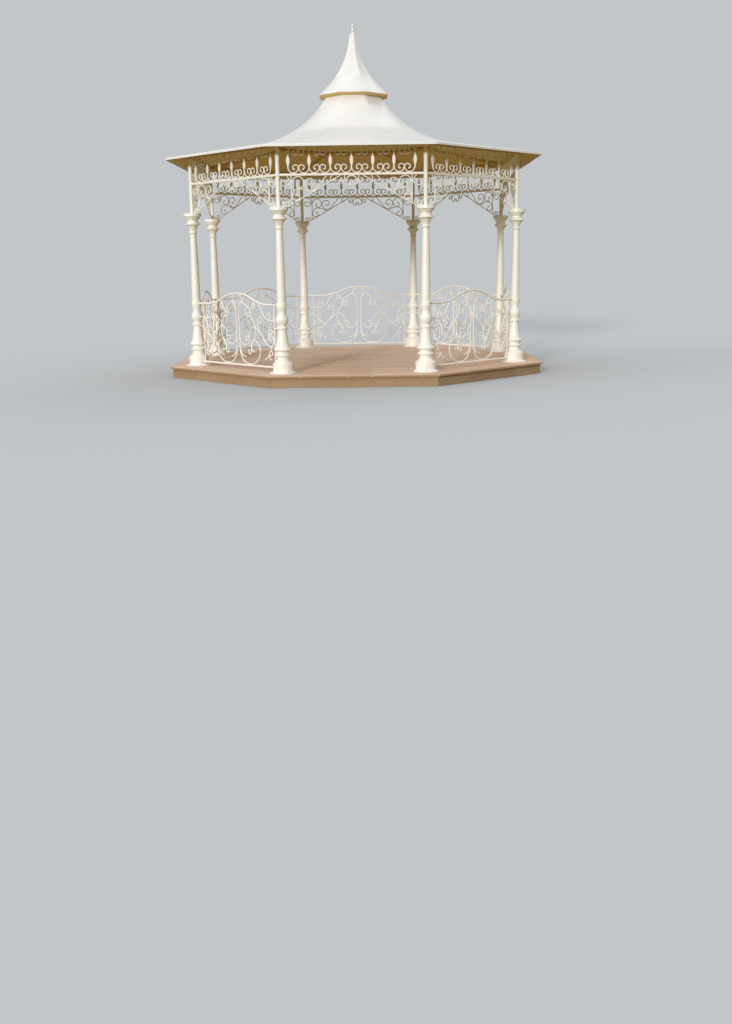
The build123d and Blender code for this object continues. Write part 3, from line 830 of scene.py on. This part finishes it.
# The slope starts straight, and bends up to the neck in a hollow arc that it meets without a kink
eaves_edge = Vector((eaves_apothem, eaves_top))
flare_end = Vector((flare_radius * apothem_share, eaves_top + flare_rise))
neck_end = Vector((neck_radius * apothem_share, neck_height))
slope = (flare_end - eaves_edge).normalized()
upward = Vector((slope.y, -slope.x))
reach = neck_end - flare_end
hollow_radius = reach.length_squared / (2 * reach.dot(upward))
hollow_centre = flare_end + upward * hollow_radius
start_angle = math.atan2(-upward.y, -upward.x)
neck_arm = neck_end - hollow_centre
hollow_turn = math.remainder(math.atan2(neck_arm.y, neck_arm.x) - start_angle, 2 * math.pi)


def roof_line(drop):
    """Apothems and heights along the roof from the eaves to the neck, at a depth under its outside."""
    line = []
    for step in range(flare_steps):
        line.append(eaves_edge.lerp(flare_end, step / flare_steps) - upward * drop)
    for step in range(hollow_steps + 1):
        angle = start_angle + hollow_turn * step / hollow_steps
        arm = Vector((math.cos(angle), math.sin(angle)))
        line.append(hollow_centre + arm * (hollow_radius + drop))
    return line


# Satin paint on sheet metal: off-white and smooth, with faint drifts of tone and a slight ripple
roof_paint, tree, shader, place = start_material("off_white_satin_paint", roughness=0.35)
drift = add_node(tree, "ShaderNodeTexNoise", {"Vector": place, "Scale": 1 / sheet_drift, "Detail": 5})
tone = add_node(tree, "ShaderNodeMix", {0: drift.outputs["Fac"], 6: linear(roof_colours[0]),
                                        7: linear(roof_colours[1])}, data_type="RGBA")
relief = add_node(tree, "ShaderNodeBump",
                  {"Height": drift.outputs["Fac"], "Strength": 0.3, "Distance": sheet_relief})
coat(tree, shader, tone, relief)

over = roof_line(0)
under = roof_line(sheet_thickness)
outer_edge = [Vector((eaves_apothem, fascia_foot)), Vector((eaves_apothem, eaves_top - eaves_round)),
              over[0] + slope * eaves_round]
inner_edge = [under[0] + slope * sheet_thickness, Vector((eaves_apothem - sheet_thickness, fascia_foot))]
profile = outer_edge + over[1:] + list(reversed(under[1:])) + inner_edge
shape = bmesh.new()
hips = add_turned(shape, [(point.x / apothem_share, point.y) for point in profile], bays,
                  (0, 0, floor_level), first=bay_turn / 2, closed=True)
bmesh.ops.bevel(shape, geom=hips, offset=hip_round * mm, segments=2, affect="EDGES", clamp_overlap=True)
roof_covering = make_piece("roof_covering", as_mesh(shape), roof_paint)
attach(roof_covering, "root")
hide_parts(*["roof_panel_" + bay for bay in bay_names])

# Soffit: narrow boards of the same softwood, close under the covering. They run up the slope with open
# V joints. One bay of them is drawn as a pleated sheet, and cut off along its two hips.
board_width = 95 * mm
board_groove = 5 * mm
groove_depth = 5 * mm
board_gap = 3
board_sharp_angle = 20
lining = roof_line(sheet_thickness + board_gap)
lining[0] = lining[0] + slope * 2 * sheet_thickness
half_boards = math.ceil(eaves_apothem * half_side_share * mm / board_width)
board_lines = []
for count in range(-half_boards, half_boards + 1):
    board_lines += [(count * board_width + side * board_groove / 2, lift)
                    for side, lift in ((-1, 0), (0, groove_depth), (1, 0))]
shape = bmesh.new()
grid = [[shape.verts.new((x, -point.x * mm, floor_level + point.y * mm + lift)) for x, lift in board_lines]
        for point in lining]
for low, high in zip(grid, grid[1:]):
    for count in range(len(board_lines) - 1):
        shape.faces.new((low[count], low[count + 1], high[count + 1], high[count]))
for side in (1, -1):
    outward = Vector((side * apothem_share, math.sin(bay_turn / 2), 0))
    bmesh.ops.bisect_plane(shape, geom=shape.verts[:] + shape.edges[:] + shape.faces[:],
                           plane_co=(0, 0, 0), plane_no=outward, clear_outer=True)
# The boards' honey-brown colour is partly painted shade
boards = turned_round(copy_tree, as_mesh(shape), material=softwood_with_painted_shade)
soffit_boards = make_piece("soffit_boards", boards, softwood_with_painted_shade, board_sharp_angle)
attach(soffit_boards, "root")

# Spire: eight hollow-curved panels of the same painted sheet over a flat collar that caps the roof's neck.
# The underside of the collar is boarded in the same softwood, and its golden line is partly painted shade.
spire_low, spire_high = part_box("spire")
collar_radius = 500
lip_height = 28
lip_round = 5
lip_undercut = 70
sweep_radius = 80
sweep_rise = 337
spire_top_radius = 48
sweep_steps = 20
spire_foot = (spire_low.z - floor_level) / mm
spire_top = (spire_high.z - floor_level) / mm
lip_top = spire_foot + lip_height
lip_bottom = lip_top - lip_round
sweep = [Vector((collar_radius, lip_top)), Vector((sweep_radius, lip_top + sweep_rise)),
         Vector((spire_top_radius, spire_top))]
spire_outline = [(0, spire_foot), (collar_radius - lip_undercut, spire_foot), (collar_radius, lip_bottom)]
for step in range(1, sweep_steps + 1):
    share = step / sweep_steps
    point = sweep[0] * (1 - share) ** 2 + sweep[1] * 2 * share * (1 - share) + sweep[2] * share ** 2
    spire_outline.append((point.x, point.y))
spire_outline.append((0, spire_top))
shape = bmesh.new()
add_turned(shape, spire_outline, bays, (0, 0, floor_level), first=bay_turn / 2)
spire_cover = make_piece("spire_cover", as_mesh(shape), roof_paint)
# The collar's underside takes the softwood, whose golden colour is partly painted shade
spire_cover.data.materials.append(softwood_with_painted_shade)
for face in spire_cover.data.polygons:
    if face.center.z < floor_level + lip_bottom * mm:
        face.material_index = 1
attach(spire_cover, "root")
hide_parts("spire")

# Finial: turned metal, screwed to the spire's cap and painted like the roof, with a round foot, two buds
# and a slim tip.
finial_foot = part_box("finial")[0].z
finial_sides = 22
finial_outline = ((0, 0, 0), (44, 0, 0), (48, 4, 1), (48, 10, 1), (44, 14, 1), (12, 32, -5), (8, 40, 0),
                  (8, 80, 12), (7, 96, 0), (7, 140, 7), (4, 146, 0), (3, 152, 0), (0, 152, 0))
shape = bmesh.new()
add_turned(shape, drawn_outline(finial_outline), finial_sides, (0, 0, finial_foot))
turned_finial = make_piece("turned_finial", as_mesh(shape), roof_paint)
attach(turned_finial, "root")
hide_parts("finial")

# Studio: a pale floor and backdrop, soft light from above and all round, and a broad key from the front.
# What the floor throws back up is dull and warm, as from open ground, so that the eaves shade what is
# under them.
floor_reach = 80
floor_colour = "#c2c5c7"
ground_colour = "#877d44"
backdrop_colour = "#c2c6c9"
sky_colour = "#f7f8fa"
low_sky = 0.03
high_sky = 1.3
sky_rise = 0.22
seen_strength = 1.0


def seen_directly(tree):
    """1 for rays from the camera, off a gloss or through glass, and 0 for light that is only bounced."""
    rays = add_node(tree, "ShaderNodeLightPath").outputs
    gloss = add_node(tree, "ShaderNodeMath", {0: rays["Is Camera Ray"], 1: rays["Is Glossy Ray"]},
                     operation="MAXIMUM")
    return add_node(tree, "ShaderNodeMath", {0: gloss.outputs[0], 1: rays["Is Transmission Ray"]},
                    operation="MAXIMUM").outputs[0]


# Matt floor paint: plain, pale grey where it is seen
floor_paint, tree, shader, place = start_material("studio_floor", roughness=0.9)
tone = add_node(tree, "ShaderNodeMix", {0: seen_directly(tree), 6: linear(ground_colour),
                                        7: linear(floor_colour)}, data_type="RGBA")
tree.links.new(tone.outputs[2], shader.inputs["Base Color"])
shader.inputs["Specular IOR Level"].default_value = 0
shape = bmesh.new()
bmesh.ops.create_grid(shape, x_segments=4, y_segments=4, size=floor_reach)
floor = make_piece("studio_ground", as_mesh(shape), floor_paint)

world = bpy.data.worlds.new("studio_world")
scene.world = world
world.use_nodes = True
tree = world.node_tree
sky = tree.nodes["Background"]
direction = add_node(tree, "ShaderNodeTexCoord")
parts = add_node(tree, "ShaderNodeSeparateXYZ", {0: direction.outputs["Generated"]})
glow = add_node(tree, "ShaderNodeMapRange", {"Value": parts.outputs["Z"], "From Min": sky_rise,
                                             "To Min": low_sky, "To Max": high_sky})
sky.inputs["Color"].default_value = linear(sky_colour)
tree.links.new(glow.outputs[0], sky.inputs["Strength"])
seen = add_node(tree, "ShaderNodeBackground",
                {"Color": linear(backdrop_colour), "Strength": seen_strength})
choice = add_node(tree, "ShaderNodeMixShader",
                  {0: seen_directly(tree), 1: sky.outputs[0], 2: seen.outputs[0]})
tree.links.new(choice.outputs[0], tree.nodes["World Output"].inputs["Surface"])


def add_sun(name, azimuth, elevation, strength, softness):
    """A soft sun that shines towards the origin from a compass angle, 0 in front, and a height."""
    lamp = bpy.data.lights.new(name, "SUN")
    lamp.energy = strength
    lamp.angle = math.radians(softness)
    holder = bpy.data.objects.new(name, lamp)
    turn, rise = math.radians(azimuth), math.radians(elevation)
    towards = Vector((math.sin(turn) * math.cos(rise), -math.cos(turn) * math.cos(rise), math.sin(rise)))
    holder.rotation_euler = towards.to_track_quat("Z", "Y").to_euler()
    scene.collection.objects.link(holder)


add_sun("front_key", azimuth=-18, elevation=14, strength=2.15, softness=7)
add_sun("left_fill", azimuth=-76, elevation=24, strength=0.5, softness=30)
add_sun("back_fill", azimuth=150, elevation=40, strength=0.3, softness=30)

# Camera: where the photograph was taken, some 13 m in front of the doorway at chest height
camera_place = Vector((0.2656, -15.344, 1.429))
# Yaw, pitch and roll, and the quarter turn that a camera needs to look level
camera_turns = ((0.639, "Z"), (-13.07, "X"), (0.760, "Y"), (90, "X"))
camera_lens = 37.16
film_width = 36
aim = Matrix.Identity(3)
for degrees, axis in camera_turns:
    aim = aim @ Matrix.Rotation(math.radians(degrees), 3, axis)
lens = bpy.data.cameras.new("photo_camera")
lens.lens = camera_lens
lens.sensor_width = film_width
camera = bpy.data.objects.new("photo_camera", lens)
camera.matrix_world = Matrix.Translation(camera_place) @ aim.to_4x4()
scene.collection.objects.link(camera)
scene.camera = camera
scene.view_settings.view_transform = "Standard"
